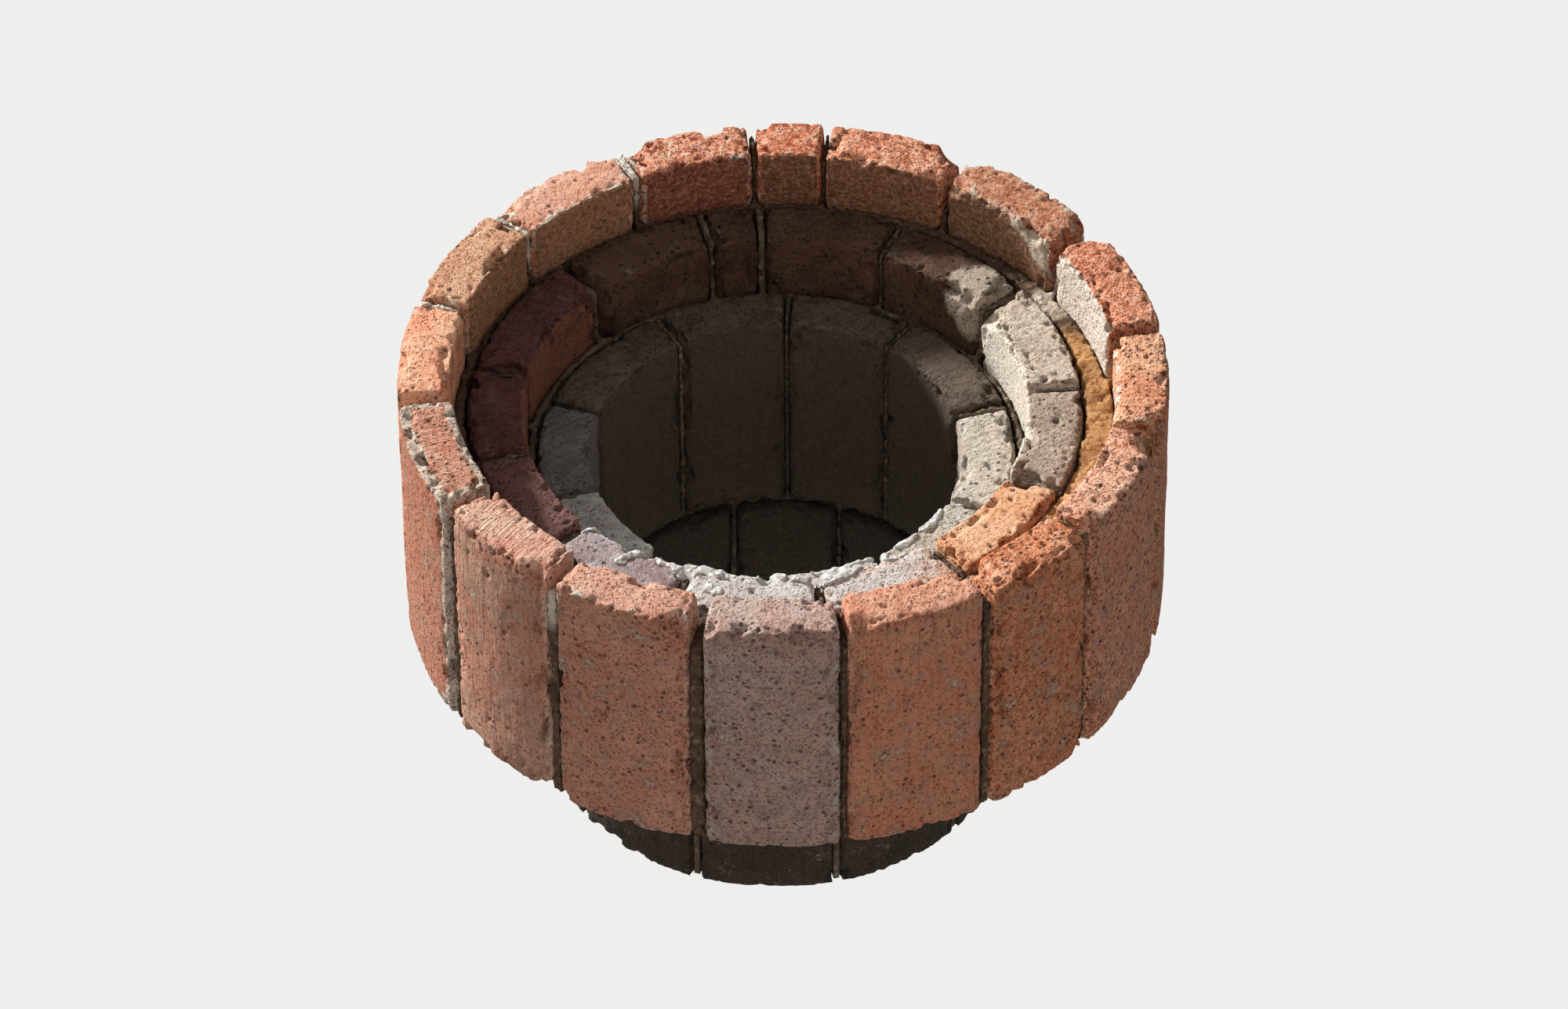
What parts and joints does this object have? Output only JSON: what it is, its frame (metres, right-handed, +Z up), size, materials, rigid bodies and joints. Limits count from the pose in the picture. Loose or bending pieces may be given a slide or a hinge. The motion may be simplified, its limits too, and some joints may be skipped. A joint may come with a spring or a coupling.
{
  "type": "oculus window",
  "caption": "Round window opening framed by stepped rings of worn bricks in lime mortar, open right through, for building into a thick wall.",
  "frame": {"origin": "centre of the outer ring of bricks, on the plane of the wall's face", "axes": "+Y runs into the wall along the outer ring's axis, +Z is up, and +X is to the right of someone who faces the window from outside"},
  "size_m": [0.7334, 0.485, 0.7334],
  "materials": {
    "orange_brick": "rough, pitted",
    "red_brick": "rough, pitted",
    "pink_brick": "rough, pitted",
    "brown_brick": "rough, pitted",
    "grey_brick": "rough, weathered",
    "limewashed_brick": "rough, remains of limewash",
    "earth_mortar": "rough, sandy",
    "lime_mortar": "rough, sandy"
  },
  "bodies": {
    "root": {"outer_brick_01": "orange_brick", "outer_brick_02": "red_brick", "outer_brick_03": "red_brick", "outer_brick_04": "orange_brick", "outer_brick_05": "orange_brick", "outer_brick_06": "brown_brick", "outer_brick_07": "orange_brick", "outer_brick_08": "pink_brick", "outer_brick_09": "pink_brick", "outer_brick_10": "pink_brick", "outer_brick_11": "red_brick", "outer_brick_12": "brown_brick", "outer_brick_13": "orange_brick", "outer_brick_14": "brown_brick", "outer_brick_15": "brown_brick", "outer_brick_16": "red_brick", "middle_brick_01": "brown_brick", "middle_brick_02": "brown_brick", "middle_brick_03": "grey_brick", "middle_brick_04": "grey_brick", "middle_brick_05": "orange_brick", "middle_brick_06": "orange_brick", "middle_brick_07": "grey_brick", "middle_brick_08": "orange_brick", "middle_brick_09": "red_brick", "middle_brick_10": "red_brick", "middle_brick_11": "red_brick", "middle_brick_12": "brown_brick", "middle_brick_13": "brown_brick", "inner_brick_01": "limewashed_brick", "inner_brick_02": "limewashed_brick", "inner_brick_03": "limewashed_brick", "inner_brick_04": "limewashed_brick", "inner_brick_05": "limewashed_brick", "inner_brick_06": "limewashed_brick", "inner_brick_07": "limewashed_brick", "inner_brick_08": "limewashed_brick", "inner_brick_09": "limewashed_brick", "inner_brick_10": "limewashed_brick", "rear_brick_01": "limewashed_brick", "rear_brick_02": "limewashed_brick", "rear_brick_03": "limewashed_brick", "rear_brick_04": "limewashed_brick", "rear_brick_05": "limewashed_brick", "rear_brick_06": "limewashed_brick", "rear_brick_07": "limewashed_brick", "rear_brick_08": "limewashed_brick", "rear_brick_09": "limewashed_brick", "rear_brick_10": "limewashed_brick", "outer_mortar": "earth_mortar", "middle_mortar": "lime_mortar", "inner_mortar": "lime_mortar"}
  },
  "joints": []
}
